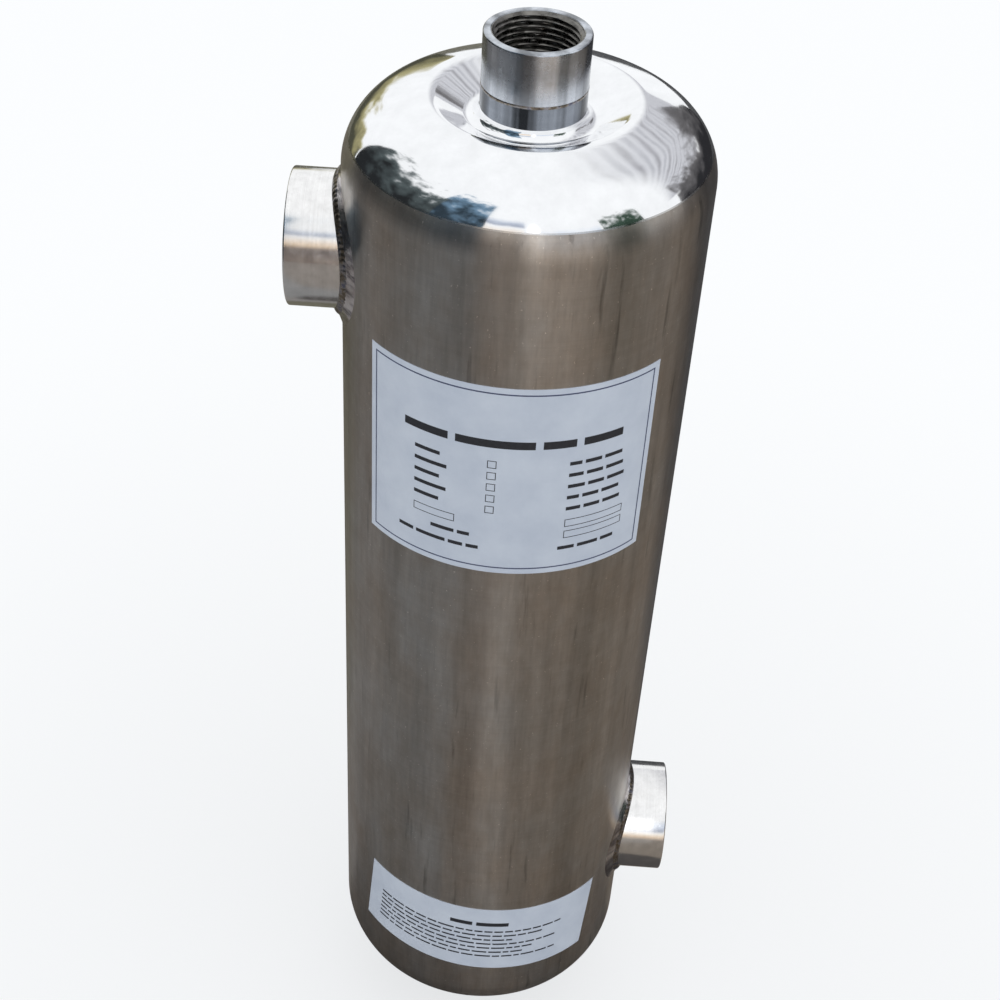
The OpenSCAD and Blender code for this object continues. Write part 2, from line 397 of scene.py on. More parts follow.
# End sockets: their upright streaks are painted reflection bands.
END_TURNED = turned_steel("turned_end", (0.47, 0.495, 0.535), "Z", (20, 20, 3000), 0.20, 0.48)
# The neck's very dark tint and strong upright streaks are painted dark reflection with bright bands.
NECK_TURNED_PAINTED_DARK = turned_steel("turned_neck", (0.17, 0.185, 0.21), "Z", (20, 20, 900), 0.16, 0.85)
SIDE_TURNED = turned_steel("turned_side", (0.95, 0.94, 0.93), "X", (3000, 20, 20))
WELD = weld_metal("weld_bead")
# Thread inside the sockets, coloured dark as painted shade.
THREAD = thread_painted_shade("cut_thread")
TUBE = tube_metal("drawn_tube")
FILM = label_film("label_film")
INK = ink("label_ink", (0.02, 0.022, 0.03))
BORDER_INK = ink("border_ink", (0.06, 0.075, 0.15))


# The shell: a grid round the vessel with a port patch on each side
TURNS = 288
PATCH_CELLS = 26
PATCH_UP = HIGH_SEAM - UPPER_Z
Z_CELL = 3.0 * MM
# The shell is ground to a low ramp up to each port's weld
RAMP_R = 33.5 * MM
RAMP_LIFT = 2.5 * MM
RAMP_STEPS = 8
RAMP_STRAIGHT = 0.8
# Rings of a port's patch before the ramp and on the inside, as shares of the way to the port
OUTER_SHARES = (0, 0.5, 1)
INNER_SHARES = (1.0, 0.6, 0.3, 0.0)


def port_patch(outline, port_z, side):
    """Rings of points from the shell's outside through a port's hole to its inside, and the number of
    rings before the ground ramp. outline holds the patch's edge as (turn round the vessel, height)."""
    angles = [math.atan2(z, SHELL_R * math.sin(t)) for t, z in outline]

    def circle(radius, r):
        points = []
        for a in angles:
            y, z = r * math.cos(a), r * math.sin(a)
            points.append(Vector((math.sqrt(radius ** 2 - y ** 2), y, z)))
        return points

    foot = circle(SHELL_R, RAMP_R)
    rings = []
    for share in OUTER_SHARES:
        rings.append([on_shell(SHELL_R, start, end, share) for start, end in zip(outline, foot)])
    before_ramp = len(rings) - 1
    for i in range(1, RAMP_STEPS + 1):
        share = i / RAMP_STEPS
        lift = RAMP_LIFT * share * (RAMP_STRAIGHT + (1 - RAMP_STRAIGHT) * share)
        rings.append(circle(SHELL_R + lift, RAMP_R + (SIDE_R - RAMP_R) * share))
    rings.append(circle(SHELL_R, PORT_HOLE_R))
    inner = circle(SHELL_IR, PORT_HOLE_R)
    for share in INNER_SHARES:
        rings.append([on_shell(SHELL_IR, start, end, share) for start, end in zip(outline, inner)])
    facing = Matrix.Rotation(0 if side > 0 else math.pi, 4, "Z")
    at_port = Matrix.Translation((0, 0, port_z)) @ facing
    return [placed(ring, at_port) for ring in rings], before_ramp


def on_shell(radius, edge, point, share):
    """A point on the shell between the patch's edge (0) and a point of the port (1)."""
    turn = edge[0] + (math.asin(point.y / radius) - edge[0]) * share
    z = edge[1] + (point.z - edge[1]) * share
    return Vector((radius * math.cos(turn), radius * math.sin(turn), z))


def cuts(low, high):
    """Heights of even rows from low to high, without the last."""
    count = max(1, round((high - low) / Z_CELL))
    return [low + (high - low) * i / count for i in range(count)]


def shell_mesh():
    """The shell's wall, outside and inside, with a patch of rings round each port's hole, and for each
    face whether it is on a ground ramp (1) or not (0)."""
    ports = [(LOWER_Z, 1), (UPPER_Z, -1)]
    heights = []
    start = LOW_SEAM
    for z, _ in ports:
        heights += cuts(start, z - PATCH_UP) + cuts(z - PATCH_UP, z + PATCH_UP)
        start = z + PATCH_UP
    heights.append(HIGH_SEAM)
    step = 2 * math.pi / TURNS
    verts, faces, ground = [], [], []

    def add(points, quads, ground_quads=()):
        base = len(verts)
        verts.extend(points)
        faces.extend([tuple(base + i for i in q) for q in quads])
        ground.extend([1 if k in ground_quads else 0 for k in range(len(quads))])

    def in_patch(i, middle_z):
        for z, side in ports:
            middle = 0 if side > 0 else TURNS // 2
            away = (i - middle + TURNS // 2) % TURNS - TURNS // 2
            if -PATCH_CELLS <= away < PATCH_CELLS and abs(middle_z - z) < PATCH_UP:
                return True
        return False

    for radius in (SHELL_R, SHELL_IR):
        for low, high in zip(heights, heights[1:]):
            for i in range(TURNS):
                if in_patch(i, (low + high) / 2):
                    continue
                a, b = i * step, (i + 1) * step
                corners = [(a, low), (b, low), (b, high), (a, high)]
                points = [Vector((radius * math.cos(t), radius * math.sin(t), z)) for t, z in corners]
                add(points, [(0, 1, 2, 3)])
    for z in (LOW_SEAM, HIGH_SEAM):
        points = [Vector((r * math.cos(i * step), r * math.sin(i * step), z))
                  for r in (SHELL_R, SHELL_IR) for i in range(TURNS)]
        add(points, ring_faces(2, TURNS))
    for z, side in ports:
        rows = [h - z for h in heights if abs(h - z) < PATCH_UP + Z_CELL / 2]
        turns = [i * step for i in range(-PATCH_CELLS, PATCH_CELLS + 1)]
        outline = [(turns[-1], h) for h in rows]
        outline += [(t, rows[-1]) for t in reversed(turns[:-1])]
        outline += [(turns[0], h) for h in reversed(rows[:-1])]
        outline += [(t, rows[0]) for t in turns[1:-1]]
        rings, before_ramp = port_patch(outline, z, side)
        count = len(outline)
        ramp_quads = range(before_ramp * count, (before_ramp + RAMP_STEPS) * count)
        add([p for ring in rings for p in ring], ring_faces(len(rings), count), ramp_quads)
    return verts, faces, ground


verts, faces, ground = shell_mesh()
shell = add_piece("vessel_shell", verts, faces, [BRUSHED, GROUND_STEEL_AND_REFLECTION], ground,
                  sharp=12)
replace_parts(shell, "shell")


# The heads: knuckle, crown, dish and neck turned round the axis
def head_profile(polish_from):
    """Outline of a head from the girth seam up its outside and down its inside, the first polished
    row and the neck's row. Heights count from the knuckle's edge."""
    drop = math.sqrt((CROWN_R - KNUCKLE_R) ** 2 - (SHELL_R - KNUCKLE_R) ** 2)
    meet = math.degrees(math.acos((SHELL_R - KNUCKLE_R) / (CROWN_R - KNUCKLE_R)))
    roll = (DISH_R, math.sqrt((CROWN_R - DISH_ROLL) ** 2 - DISH_R ** 2) - drop)
    turn_in = math.degrees(math.acos(DISH_R / (CROWN_R - DISH_ROLL)))
    slope = math.radians(DISH_SLOPE)
    corner_r = END_R + NECK_FILLET
    fall = (DISH_R - corner_r) * math.tan(slope)
    corner = (corner_r, roll[1] + (DISH_ROLL + NECK_FILLET) / math.cos(slope) - fall)
    split = math.degrees(math.asin(polish_from / KNUCKLE_R))
    knuckle = (SHELL_R - KNUCKLE_R, 0)
    outline = [(SHELL_R, -HEAD_SKIRT)] + arc(knuckle, KNUCKLE_R, 0, split, 16)
    first_polished = len(outline) - 1
    outline += arc(knuckle, KNUCKLE_R, split, meet, 30)[1:]
    outline += arc((0, -drop), CROWN_R, meet, turn_in, 10)[1:]
    outline += arc(roll, DISH_ROLL, turn_in, 90 + DISH_SLOPE, 20)[1:]
    outline += arc(corner, NECK_FILLET, 270 + DISH_SLOPE, 180, 16)
    neck_row = len(outline) - 1
    outline += [(END_R, NECK_HEIGHT), (END_R - HEAD_WALL, NECK_HEIGHT)]
    outline += arc(corner, NECK_FILLET + HEAD_WALL, 180, 270 + DISH_SLOPE, 8)
    outline += arc(roll, DISH_ROLL - HEAD_WALL, 90 + DISH_SLOPE, turn_in, 8)
    outline += arc((0, -drop), CROWN_R - HEAD_WALL, turn_in, meet, 5)[1:]
    outline += arc(knuckle, KNUCKLE_R - HEAD_WALL, meet, 0, 10)[1:]
    outline += [(SHELL_R - HEAD_WALL, -HEAD_SKIRT)]
    return outline, first_polished, neck_row


HEAD_TURNS = 240
HEAD_METALS = [BRUSHED, POLISHED, NECK_TURNED_PAINTED_DARK, HALF_POLISHED]
BRUSHED_ROW, POLISHED_ROW, NECK_ROW, HALF_ROW = range(4)
# Heights on the knuckle from which a head is polished
TOP_POLISH = 11.5 * MM
BOTTOM_POLISH = 20 * MM


def add_head(name, node, place, polish_from):
    outline, first_polished, neck_row = head_profile(polish_from)
    points, quads = revolve(outline, HEAD_TURNS)
    rows = [POLISHED_ROW if row >= first_polished else BRUSHED_ROW for row in range(len(outline))]
    rows[neck_row] = NECK_ROW
    rows[first_polished] = HALF_ROW
    slots = [rows[k // HEAD_TURNS] for k in range(len(quads))]
    piece = add_piece(name, placed(points, place), quads, HEAD_METALS, slots)
    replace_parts(piece, node)


add_head("drawn_head_top", "top_head", AT_TOP, TOP_POLISH)
add_head("drawn_head_bottom", "bottom_head", AT_BOTTOM, BOTTOM_POLISH)


# The sockets: turned outside, pipe thread inside
THREAD_PITCH = 2.31 * MM
THREAD_DEPTH = 1.35 * MM
THREAD_STEP = THREAD_PITCH / 12
THREAD_SHAPE = [(0.0, 0.0), (0.1, 0.0), (0.46, 1.0), (0.56, 1.0), (0.92, 0.0), (1.0, 0.0)]
SOCKET_TURNS = 144
EDGE_ROUND = 0.7 * MM
MOUTH_LIP = 0.25 * MM


def thread_depth(phase):
    """Depth of the thread's groove at a phase of its turn, as a share of the full depth."""
    for (a, da), (b, db) in zip(THREAD_SHAPE, THREAD_SHAPE[1:]):
        if a <= phase <= b:
            return da + (db - da) * (phase - a) / (b - a)


def cope(r, turn, round_r):
    """Height of a socket's foot at a place, cut to a round of that radius, or flat."""
    if not round_r:
        return 0.0
    return math.sqrt(round_r ** 2 - (r * math.sin(turn)) ** 2) - round_r


def socket_rings(outer, bore, length, round_r):
    """Rings of a socket that stands on the XY plane: outside, rim, then the thread from its mouth down.
    Also gives the number of rings on the outside and the rim."""
    mouth = bore + MOUTH_CHAMFER
    shoulder = length - EDGE_ROUND
    top = length - MOUTH_LIP
    turns = [2 * math.pi * i / SOCKET_TURNS for i in range(SOCKET_TURNS)]
    rings = [[(outer, cope(outer, t, round_r)) for t in turns]]
    plain = [(outer, length * 0.3), (outer, length * 0.6), (outer, shoulder)]
    plain += arc((outer - EDGE_ROUND, shoulder), EDGE_ROUND, 0, 90, 5)[1:]
    plain += [(mouth + MOUTH_LIP, length), (mouth, top)]
    rings += [[point] * SOCKET_TURNS for point in plain]
    steps = math.ceil(length / THREAD_STEP)
    for k in range(steps + 1):
        ring = []
        for i, t in enumerate(turns):
            z = top + (cope(bore, t, round_r) - top) * k / steps
            here = (z / THREAD_PITCH - i / SOCKET_TURNS) % 1.0
            r = bore + THREAD_DEPTH * thread_depth(here)
            ring.append((max(r, bore + z - (length - MOUTH_CHAMFER)), z))
        rings.append(ring)
    return rings, len(plain)


def add_socket(name, node, place, outer, bore, length, turned, round_r=None):
    rings, plain_rows = socket_rings(outer, bore, length, round_r)
    points = []
    for ring in rings:
        for i, (r, z) in enumerate(ring):
            turn = 2 * math.pi * i / SOCKET_TURNS
            points.append((r * math.cos(turn), r * math.sin(turn), z))
    quads = ring_faces(len(rings), SOCKET_TURNS, closed=True)
    slots = [0 if k // SOCKET_TURNS < plain_rows else 1 for k in range(len(quads))]
    metals = [turned, THREAD]
    piece = add_piece(name, placed(points, place), quads, metals, slots, sharp=25)
    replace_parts(piece, node)


ON_NECK = Matrix.Translation((0, 0, NECK_HEIGHT))
ON_SHELL = Matrix.Translation((0, 0, SHELL_R))
for name, node, place in (("threaded_socket_top", "top_socket", AT_TOP),
                          ("threaded_socket_bottom", "bottom_socket", AT_BOTTOM)):
    add_socket(name, node, place @ ON_NECK, END_R, END_BORE, END_LEN, END_TURNED)
for name, node, place in (("threaded_socket_upper", "upper_side_socket", AT_UPPER_PORT),
                          ("threaded_socket_lower", "lower_side_socket", AT_LOWER_PORT)):
    add_socket(name, node, place @ ON_SHELL, SIDE_R, SIDE_BORE, SIDE_LEN, SIDE_TURNED, SHELL_R)


# The weld beads: overlapping scales laid round each seam
SCALE_STEPS = 6
SCALE_SIZES = (0.7, 1.15)
SCALE_VALLEY = 0.55
BEAD_ACROSS = 10
SEAM_SCALES, FILLET_SCALES = 90, 84
SEAM_SINK, SEAM_RISE, SEAM_HALF = 0.02 * MM, 0.18 * MM, 0.6 * MM
FILLET_SINK, FILLET_BULGE = 0.05 * MM, 0.55 * MM


def add_weld(name, node, place, scales, seed, section):
    """A closed tube of scales; section gives the bead's (r, z) at a turn, a place across and a lift."""
    draw = random.Random(seed)
    sizes = [draw.uniform(*SCALE_SIZES) for _ in range(scales)]
    count = scales * SCALE_STEPS
    points = []
    for i in range(count):
        scale, part = divmod(i, SCALE_STEPS)
        swell = math.sin(math.pi * (part + 0.5) / SCALE_STEPS)
        lift = sizes[scale] * (SCALE_VALLEY + (1 - SCALE_VALLEY) * swell)
        for k in range(BEAD_ACROSS):
            share = k / (BEAD_ACROSS - 1) * 2 - 1
            turn = 2 * math.pi * (i - 0.5 * SCALE_STEPS * share * share) / count
            r, z = section(turn, share, lift * (1 - share * share))
            points.append((r * math.cos(turn), r * math.sin(turn), z))
        turn = 2 * math.pi * i / count
        r, z = section(turn, 0.0, -1.0)
        points.append((r * math.cos(turn), r * math.sin(turn), z))
    quads = ring_faces(count, BEAD_ACROSS + 1, closed=True)
    piece = add_piece(name, placed(points, place), quads, [WELD], sharp=60)
    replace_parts(piece, node)


def seam_bead(turn, share, lift):
    """A low bead over the flat seam of an end socket, dressed down."""
    return END_R - SEAM_SINK + SEAM_RISE * lift, share * SEAM_HALF


def fillet_bead(turn, share, lift):
    """A fillet along the saddle between a side socket and the shell."""
    out = (1 + share) / 2
    r = SIDE_R - FILLET_SINK + FILLET_OUT * out + FILLET_BULGE * lift
    rise = FILLET_UP * (1 - out) + FILLET_BULGE * lift - FILLET_SINK
    return r, cope(r, turn, SHELL_R) + rise


add_weld("weld_top", "top_socket_weld", AT_TOP @ ON_NECK, SEAM_SCALES, 3, seam_bead)
add_weld("weld_bottom", "bottom_socket_weld", AT_BOTTOM @ ON_NECK, SEAM_SCALES, 5, seam_bead)
add_weld("weld_upper", "upper_side_weld", AT_UPPER_PORT @ ON_SHELL, FILLET_SCALES, 7, fillet_bead)
add_weld("weld_lower", "lower_side_weld", AT_LOWER_PORT @ ON_SHELL, FILLET_SCALES, 11, fillet_bead)

# The bundle inside keeps its CAD solids
for name, node in nodes.items():
    if name.startswith(("tube_", "baffle_")) or name.endswith("tube_sheet"):
        node.data.materials[0] = TUBE


# The labels: film wrapped on the shell, with a generic print of a border, bars and empty boxes
FILM_T = 0.17 * MM
INK_T = 0.04 * MM
LABEL_COLUMN = 1.5 * MM
LABEL_HALF_W = SHELL_R * math.asin(LABEL_HALF / SHELL_R)


class Label:
    """Thin blocks wrapped on the shell. Places count from a label's middle, along the surface, in
    metres in place, block and film and in millimetres in what is printed."""

    def __init__(self, node, slant=0.0):
        low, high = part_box(node)
        self.middle = (low.z + high.z) / 2
        self.half_h = (high.z - low.z) / 2
        self.slant = slant
        self.blocks = {}

    def place(self, u, v, radius):
        x = SHELL_R * math.sin(u / SHELL_R)
        along = x * math.cos(self.slant) + v * math.sin(self.slant)
        up = v * math.cos(self.slant) - x * math.sin(self.slant)
        return (along, -math.sqrt(radius ** 2 - along ** 2), self.middle + up)

    def block(self, layer, u0, v0, u1, v1, inner, outer):
        verts, faces = self.blocks.setdefault(layer, ([], []))
        columns = max(1, math.ceil(abs(u1 - u0) / LABEL_COLUMN))
        base = len(verts)
        for i in range(columns + 1):
            u = u0 + (u1 - u0) * i / columns
            for radius, v in ((outer, v0), (outer, v1), (inner, v1), (inner, v0)):
                verts.append(self.place(u, v, SHELL_R + radius))
        for i in range(columns):
            a, b = base + 4 * i, base + 4 * i + 4
            faces.extend([(a + k, b + k, b + (k + 1) % 4, a + (k + 1) % 4) for k in range(4)])
        end = base + 4 * columns
        faces.extend([(base + 3, base + 2, base + 1, base), (end, end + 1, end + 2, end + 3)])

    def film(self, half_w, half_h):
        self.block("film", -half_w, -half_h, half_w, half_h, 0.0, FILM_T)

    def bar(self, layer, x0, y0, x1, y1):
        self.block(layer, x0 * MM, y0 * MM, x1 * MM, y1 * MM, FILM_T / 2, FILM_T + INK_T)

    def box(self, layer, x0, y0, x1, y1, line):
        self.bar(layer, x0, y0, x1, y0 + line)
        self.bar(layer, x0, y1 - line, x1, y1)
        self.bar(layer, x0, y0 + line, x0 + line, y1 - line)
        self.bar(layer, x1 - line, y0 + line, x1, y1 - line)

    def words(self, x, y, height, lengths, gap):
        for length in lengths:
            self.bar("print", x, y, x + length, y + height)
            x += length + gap

    def add(self, layer, name, material):
        verts, faces = self.blocks[layer]
        return add_piece(name, verts, faces, [material])


WORD_H, WORD_GAP = 1.7, 1.4
BOX_LINE = 0.3
ROW_PITCH = 5.6
rating = Label("rating_label")
rating.film(LABEL_HALF_W, rating.half_h)
rating.box("border", -59.4, -43.0, 59.4, 43.0, 0.6)
rating.words(-43, 17.5, 3.6, [19, 31, 13, 17], 3)
for row in range(5):
    y = 8.5 - row * ROW_PITCH
    rating.words(-38, y, WORD_H, [11 + row % 2 * 3], WORD_GAP)
    rating.box("print", -8, y - 0.9, -4.4, y + 2.7, BOX_LINE)
    rating.words(24, y, WORD_H, [5 + row % 3, 7, 8], WORD_GAP)
for x0, y0, x1, y1 in ((-38, -22.4, -20, -18.6), (24, -22.4, 50, -18.6), (24, -28.2, 50, -24.4)):
    rating.box("print", x0, y0, x1, y1, BOX_LINE)
for x, y, lengths in ((-30, -28, [10, 5]), (-45, -34, [7, 13, 6, 5]), (22, -34, [7, 9, 6])):
    rating.words(x, y, WORD_H, lengths, WORD_GAP)
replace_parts(rating.add("film", "film_rating", FILM), "rating_label")
rating.add("border", "border_rating", BORDER_INK)
rating.add("print", "print_rating", INK)

LOWER_HALF_H = 23.5 * MM
FINE_H, FINE_GAP = 1.0, 1.0
FINE_PITCH = 3.3
lower = Label("lower_label", LOWER_SLANT)
lower.film(LABEL_HALF_W, LOWER_HALF_H)
lower.words(-14, 10.5, 2.6, [11, 16], 2)
word_lengths = random.Random(19)
for row in range(7):
    lengths = []
    row_length = 94 - row % 3 * 11
    while sum(lengths) + FINE_GAP * len(lengths) < row_length:
        lengths.append(word_lengths.uniform(2.5, 8))
    lower.words(-53, 5.6 - row * FINE_PITCH, FINE_H, lengths, FINE_GAP)
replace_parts(lower.add("film", "film_lower", FILM), "lower_label")
lower.add("print", "print_lower", INK)

# The camera that the photograph was taken with
PICTURE = 1000
FOCAL_PX = 1740.5
CENTRE_PX = (465, 545)
PAN, PITCH, ROLL = -0.03086, 0.72386, 0.04955
CAMERA_AT = Vector((1.08, -585.4, 807.7)) * MM
forward = Vector((math.sin(PAN) * math.cos(PITCH), math.cos(PAN) * math.cos(PITCH), -math.sin(PITCH)))
level = forward.cross(Vector((0, 0, 1))).normalized()
upright = level.cross(forward)
right = math.cos(ROLL) * level + math.sin(ROLL) * upright
up = math.cos(ROLL) * upright - math.sin(ROLL) * level
camera_data = bpy.data.cameras.new("camera")
camera_data.sensor_width = 36
camera_data.lens = FOCAL_PX * camera_data.sensor_width / PICTURE
camera_data.shift_x = (PICTURE / 2 - CENTRE_PX[0]) / PICTURE
camera_data.shift_y = (CENTRE_PX[1] - PICTURE / 2) / PICTURE
camera = bpy.data.objects.new("camera", camera_data)
turned = Matrix((right, up, -forward)).transposed().to_4x4()
camera.matrix_world = Matrix.Translation(CAMERA_AT) @ turned
bpy.context.scene.collection.objects.link(camera)
bpy.context.scene.camera = camera


# Floor, surroundings and light
def plain(name, colour):
    """Dull paint of one colour."""
    n = Nodes(name)
    n.set(Base_Color=(*colour, 1), Roughness=0.8, Specular_IOR_Level=0.2)
    return n.material


def level_corners(x, y, z):
    """Corners of a level rectangle between two x and two y."""
    return [(x[0], y[0], z), (x[1], y[0], z), (x[1], y[1], z), (x[0], y[1], z)]


def add_stage(name, verts, faces, material, seen=True):
    """A mesh of the surroundings, which isn't part of the object."""
    mesh = bpy.data.meshes.new(name)
    mesh.from_pydata(verts, [], faces)
    mesh.materials.append(material)
    piece = bpy.data.objects.new(name, mesh)
    bpy.context.scene.collection.objects.link(piece)
    piece.visible_camera = seen
    return piece


WHITE = (0.97, 0.985, 1.0)
FLOOR_HALF = 12.0
# The floor's white share beside the vessel, and the distances between which it grows to all
FLOOR_SHARE = 0.7
FLOOR_FADE = (0.10, 0.75)


def seen_directly(tree):
    """1 for rays from the camera, from mirrors and through glass, and 0 for the others."""
    path = tree.nodes.new("ShaderNodeLightPath")
    seen = path.outputs["Is Camera Ray"]
    for kind in ("Is Glossy Ray", "Is Transmission Ray"):
        either = tree.nodes.new("ShaderNodeMath")
        either.operation = "MAXIMUM"
        tree.links.new(seen, either.inputs[0])
        tree.links.new(path.outputs[kind], either.inputs[1])
        seen = either.outputs["Value"]
    return seen


def lit_white(name, colour):
    """Paint that the camera and mirrors see mixed with the sky's white, by a share that grows to all of
    it away from the vessel."""
    n = Nodes(name)
    n.set(Base_Color=(*colour, 1), Roughness=0.9, Specular_IOR_Level=0.1)
    white = n.add("Emission")
    white.inputs["Color"].default_value = (*WHITE, 1)
    away = n.add("VectorMath", operation="LENGTH")
    n.link(n.place(), away.inputs[0])
    part = n.add("Math", operation="MULTIPLY")
    n.link(seen_directly(n.tree), part.inputs[0])
    n.link(n.rise(away.outputs["Value"], *FLOOR_FADE, FLOOR_SHARE), part.inputs[1])
    n.surface_mix(part.outputs["Value"], n.shader.outputs["BSDF"], white.outputs["Emission"])
    return n.material


FLOOR_SPAN = (-FLOOR_HALF, FLOOR_HALF)
add_stage("floor", level_corners(FLOOR_SPAN, FLOOR_SPAN, 0), [(0, 1, 2, 3)],
          lit_white("floor_paint", (0.9, 0.9, 0.9)))


def only_mirrored(piece):
    """Shows a piece in reflections alone, where it takes no light from the object."""
    piece.visible_shadow = False
    piece.visible_diffuse = False
    piece.visible_transmission = False


def flag_paint(name, top, stops, sway_by, fade):
    """An even glow with colours by height, edges that sway by noise, and a top that fades out."""
    n = Nodes(name)
    split = n.add("SeparateXYZ")
    n.link(n.place(), split.inputs["Vector"])
    height = n.add("MapRange", clamp=False)
    height.inputs["From Max"].default_value = top
    n.link(split.outputs["Z"], height.inputs["Value"])
    blots = n.noise((2.6, 2.6, 1.7), 5, 0.62)
    sway = n.add("Math", operation="MULTIPLY_ADD")
    sway.inputs[1].default_value = sway_by
    sway.inputs[2].default_value = -sway_by / 2
    n.link(blots, sway.inputs[0])
    edge = n.add("Math", operation="ADD")
    n.link(height.outputs["Result"], edge.inputs[0])
    n.link(sway.outputs["Value"], edge.inputs[1])
    glow = n.add("Emission")
    n.link(n.ramp(edge.outputs["Value"], stops), glow.inputs["Color"])
    gone = n.add("BsdfTransparent")
    share_gone = n.ramp(edge.outputs["Value"], [(fade[0], 0.0), (fade[1], 1.0)])
    n.surface_mix(share_gone, glow.outputs["Emission"], gone.outputs["BSDF"])
    return n.material


def fan(azimuth, span, steps, ends):
    """A strip along an arc round the vessel; ends holds the (distance, height) of its two edges."""
    verts = []
    for i in range(steps + 1):
        turn = math.radians(azimuth + span * (i / steps - 0.5))
        verts += [(r * math.sin(turn), -r * math.cos(turn), z) for r, z in ends]
    faces = [(2 * i, 2 * i + 2, 2 * i + 3, 2 * i + 1) for i in range(steps)]
    return verts, faces


FLAG_STEPS, GROUND_STEPS = 16, 24
# A flag goes on above its top by this factor, so that its fading edge has room to sway
FLAG_ROOM = 1.5


def add_flag(name, azimuth, span, distance, top, stops, sway_by, fade):
    """A curved flag that stands round the vessel."""
    ends = ((distance, 0.0), (distance, FLAG_ROOM * top))
    verts, faces = fan(azimuth, span, FLAG_STEPS, ends)
    paint = flag_paint(name, top, stops, sway_by, fade)
    only_mirrored(add_stage(name, verts, faces, paint, seen=False))


def add_ground_flag(name, azimuth, span, near, far, colour, lift):
    """A sector that lies on the floor and shows in reflections."""
    verts, faces = fan(azimuth, span, GROUND_STEPS, ((far, lift), (near, lift)))
    only_mirrored(add_stage(name, verts, faces, plain(name, colour), seen=False))


CEILING_X, CEILING_Y, CEILING_Z = (0.1, 9.0), (0.3, 10.0), 3.0
# The beams come in between the ceiling's near edges and this far along x and y
CEILING_FULL = 1.6


def add_ceiling():
    """A pale ceiling with beams behind the vessel on its right, which shows in reflections."""
    n = Nodes("ceiling_beams")
    split = n.add("SeparateXYZ")
    n.link(n.place(), split.inputs["Vector"])
    beams = n.add("TexWave", wave_type="BANDS", bands_direction="DIAGONAL")
    beams.inputs["Scale"].default_value = 0.62
    beams.inputs["Distortion"].default_value = 1.1
    beams.inputs["Detail"].default_value = 2.0
    n.link(n.place(), beams.inputs["Vector"])
    lines = n.ramp(beams.outputs["Fac"], [(0.0, (0.38, 0.38, 0.41)), (0.22, (0.62, 0.63, 0.67)),
                                          (0.75, (0.74, 0.75, 0.79)), (1.0, (0.50, 0.51, 0.55))])
    inside = n.add("Math", operation="MULTIPLY")
    n.link(n.rise(split.outputs["X"], CEILING_X[0], CEILING_FULL), inside.inputs[0])
    n.link(n.rise(split.outputs["Y"], CEILING_Y[0], CEILING_FULL), inside.inputs[1])
    glow = n.add("Emission")
    n.link(n.mix(WHITE, lines, inside.outputs["Value"], "MIX"), glow.inputs["Color"])
    n.surface(glow.outputs["Emission"])
    corners = level_corners(CEILING_X, CEILING_Y, CEILING_Z)
    only_mirrored(add_stage("ceiling", corners, [(0, 1, 2, 3)], n.material, seen=False))


def add_glow(name, place, size, peak):
    """A pale upright card before the vessel with soft edges, which shows in reflections."""
    n = Nodes(name)
    away = n.add("VectorMath", operation="SUBTRACT")
    away.inputs[1].default_value = place
    n.link(n.place(), away.inputs[0])
    share = n.add("VectorMath", operation="MULTIPLY")
    share.inputs[1].default_value = (2 / size[0], 0, 2 / size[1])
    n.link(away.outputs["Vector"], share.inputs[0])
    reach = n.add("VectorMath", operation="LENGTH")
    n.link(share.outputs["Vector"], reach.inputs[0])
    glow = n.add("Emission")
    glow.inputs["Strength"].default_value = peak
    gone = n.add("BsdfTransparent")
    soft = n.rise(reach.outputs["Value"], 1.0, 0.0)
    n.surface_mix(soft, gone.outputs["BSDF"], glow.outputs["Emission"])
    x, y, z = place
    half_w, half_h = size[0] / 2, size[1] / 2
    corners = [(x - half_w, y, z - half_h), (x + half_w, y, z - half_h),
               (x + half_w, y, z + half_h), (x - half_w, y, z + half_h)]
    only_mirrored(add_stage(name, corners, [(0, 1, 2, 3)], n.material, seen=False))


# Each flag is (azimuth, span, distance, height, foot colour, upper colour); azimuth 0 faces the labels
FLAGS = [(-148, 46, 2.1, 1.2, (0.07, 0.07, 0.05), (0.46, 0.42, 0.22)),
         (-91, 66, 2.0, 3.2, (0.02, 0.022, 0.024), (0.10, 0.125, 0.13)),
         (-43, 36, 2.0, 5.0, (0.03, 0.045, 0.06), (0.20, 0.33, 0.47)),
         (60, 26, 2.0, 2.3, (0.02, 0.028, 0.024), (0.05, 0.09, 0.065)),
         (87, 28, 2.1, 0.8, (0.15, 0.13, 0.12), (0.5, 0.48, 0.47)),
         (130, 58, 2.0, 1.7, (0.025, 0.025, 0.028), (0.16, 0.155, 0.16))]
# Where their two colours stand by height, how far the edges sway and where the tops fade
LOW_STOP, HIGH_STOP = 0.25, 0.66
FLAG_SWAY = 1.3
FLAG_FADE = (0.60, 0.80)
for index, (azimuth, span, distance, top, low, high) in enumerate(FLAGS):
    stops = [(LOW_STOP, low), (HIGH_STOP, high)]
    add_flag("flag_%d" % index, azimuth, span, distance, top, stops, FLAG_SWAY, FLAG_FADE)
LEFT_STOPS = [(0.00, (0.20, 0.165, 0.145)), (0.38, (0.15, 0.125, 0.115)), (0.46, (0.80, 0.62, 0.44)),
              (0.58, (0.92, 0.84, 0.76)), (0.72, WHITE), (0.78, (0.40, 0.44, 0.54)),
              (0.90, (0.62, 0.68, 0.78))]
RIGHT_STOPS = [(0.00, (0.74, 0.54, 0.38)), (0.16, (0.95, 0.84, 0.70)), (0.30, WHITE),
               (0.38, (0.28, 0.32, 0.42)), (0.62, (0.60, 0.67, 0.80)), (0.90, (0.82, 0.88, 0.96))]
add_flag("flag_front_left", -14, 28, 2.1, 2.3, LEFT_STOPS, 0.16, (0.86, 1.0))
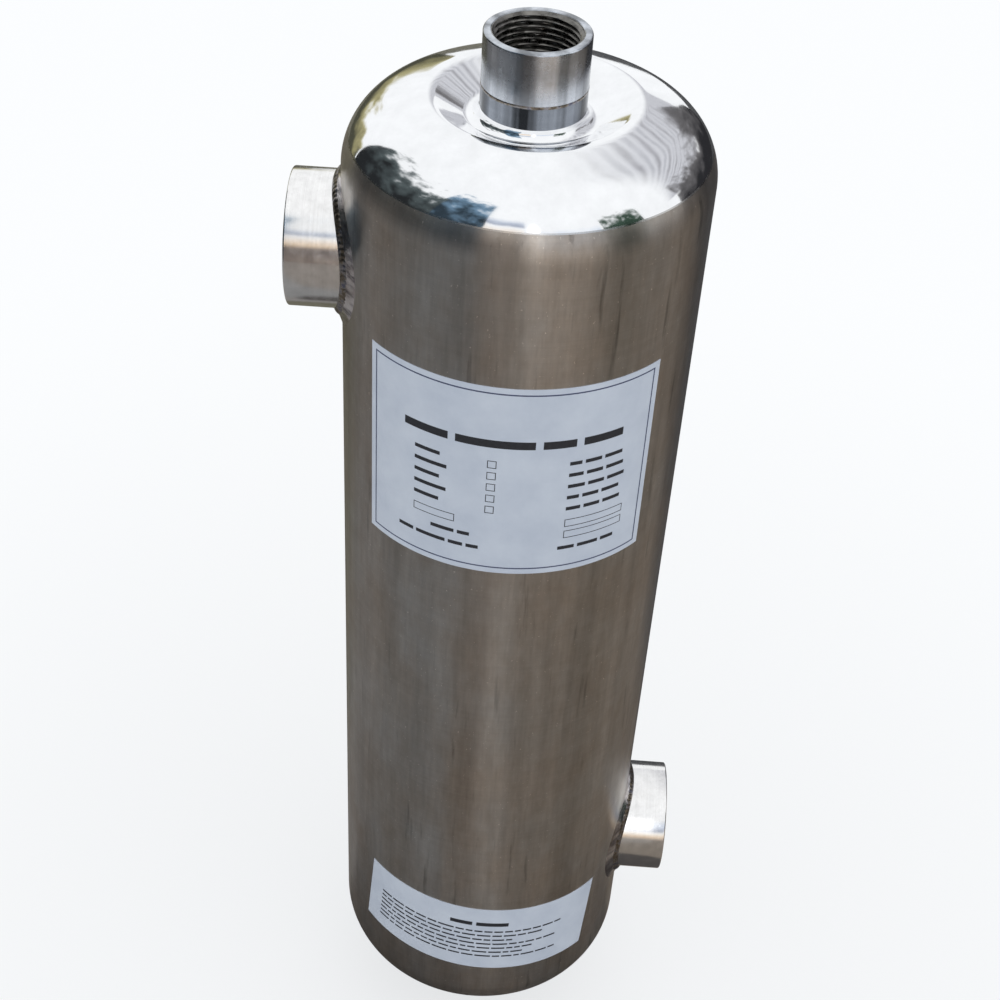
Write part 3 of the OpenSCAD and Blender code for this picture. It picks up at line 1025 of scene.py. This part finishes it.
add_flag("flag_front_right", 23, 46, 2.1, 1.6, RIGHT_STOPS, 0.30, (0.80, 1.0))

# Sectors on the ground go from the vessel's foot to just past the flags, or far out behind
GROUND_FOOT = END_R + 1 * MM
GROUND_REACH, BACK_REACH = 2.12, 7.0
GROUND_LIFT, UPPER_LIFT = 1 * MM, 2 * MM
# Each is (azimuth, span, reach, colour)
GROUND = [(-104, 40, GROUND_REACH, (0.295, 0.28, 0.27)),
          (-55, 58, GROUND_REACH, (0.28, 0.277, 0.276)),
          (-15, 22, GROUND_REACH, (0.28, 0.25, 0.225)),
          (5, 18, GROUND_REACH, (0.33, 0.305, 0.28)),
          (69, 110, GROUND_REACH, (0.245, 0.21, 0.175)),
          (150, 52, BACK_REACH, (0.06, 0.06, 0.063)),
          (-150, 52, BACK_REACH, (0.17, 0.16, 0.12)),
          (180, 8, BACK_REACH, (0.2, 0.2, 0.2))]
for index, (azimuth, span, reach, colour) in enumerate(GROUND):
    add_ground_flag("ground_%d" % index, azimuth, span, GROUND_FOOT, reach, colour, GROUND_LIFT)
add_ground_flag("ground_far", 23, 46, 1.1, GROUND_REACH, (0.56, 0.47, 0.39), UPPER_LIFT)
# A dark sector round the foot, seen only in reflections, is painted shade of the floor there.
add_ground_flag("ground_near", 0, 200, GROUND_FOOT, 0.15, (0.09, 0.082, 0.078), UPPER_LIFT)
add_ceiling()
add_glow("glow", (0.18, -1.7, 0.95), (0.32, 1.9), 3.0)


def add_light(name, size, place, aim, power, colour=(1, 1, 1)):
    """A soft lamp that doesn't show in mirrors."""
    data = bpy.data.lights.new(name, "AREA")
    data.shape = "RECTANGLE"
    data.size, data.size_y = size
    data.energy = power
    data.color = colour
    lamp = bpy.data.objects.new(name, data)
    lamp.visible_glossy = False
    lamp.location = place
    lamp.rotation_euler = (Vector(aim) - Vector(place)).to_track_quat("-Z", "Y").to_euler()
    bpy.context.scene.collection.objects.link(lamp)


middle = (0, 0, 0.27)
add_light("key", (3.2, 3.2), (1.5, -1.3, 3.0), middle, 22)
add_light("fill", (3.0, 2.4), (-2.2, -0.8, 2.6), middle, 7)
add_light("back", (3.0, 2.0), (0.2, 2.4, 2.4), middle, 14, (0.95, 0.98, 1.0))

# The sky lights at a plain level and shows white to the camera and in mirrors
SKY_LEVEL = 0.7
world = bpy.data.worlds.new("studio")
world.use_nodes = True
sky = world.node_tree
background = sky.nodes["Background"]
strength = sky.nodes.new("ShaderNodeMapRange")
strength.inputs["To Min"].default_value = SKY_LEVEL
sky.links.new(seen_directly(sky), strength.inputs["Value"])
sky.links.new(strength.outputs["Result"], background.inputs["Strength"])
background.inputs["Color"].default_value = (*WHITE, 1)
bpy.context.scene.world = world
bpy.context.scene.view_settings.view_transform = "Standard"
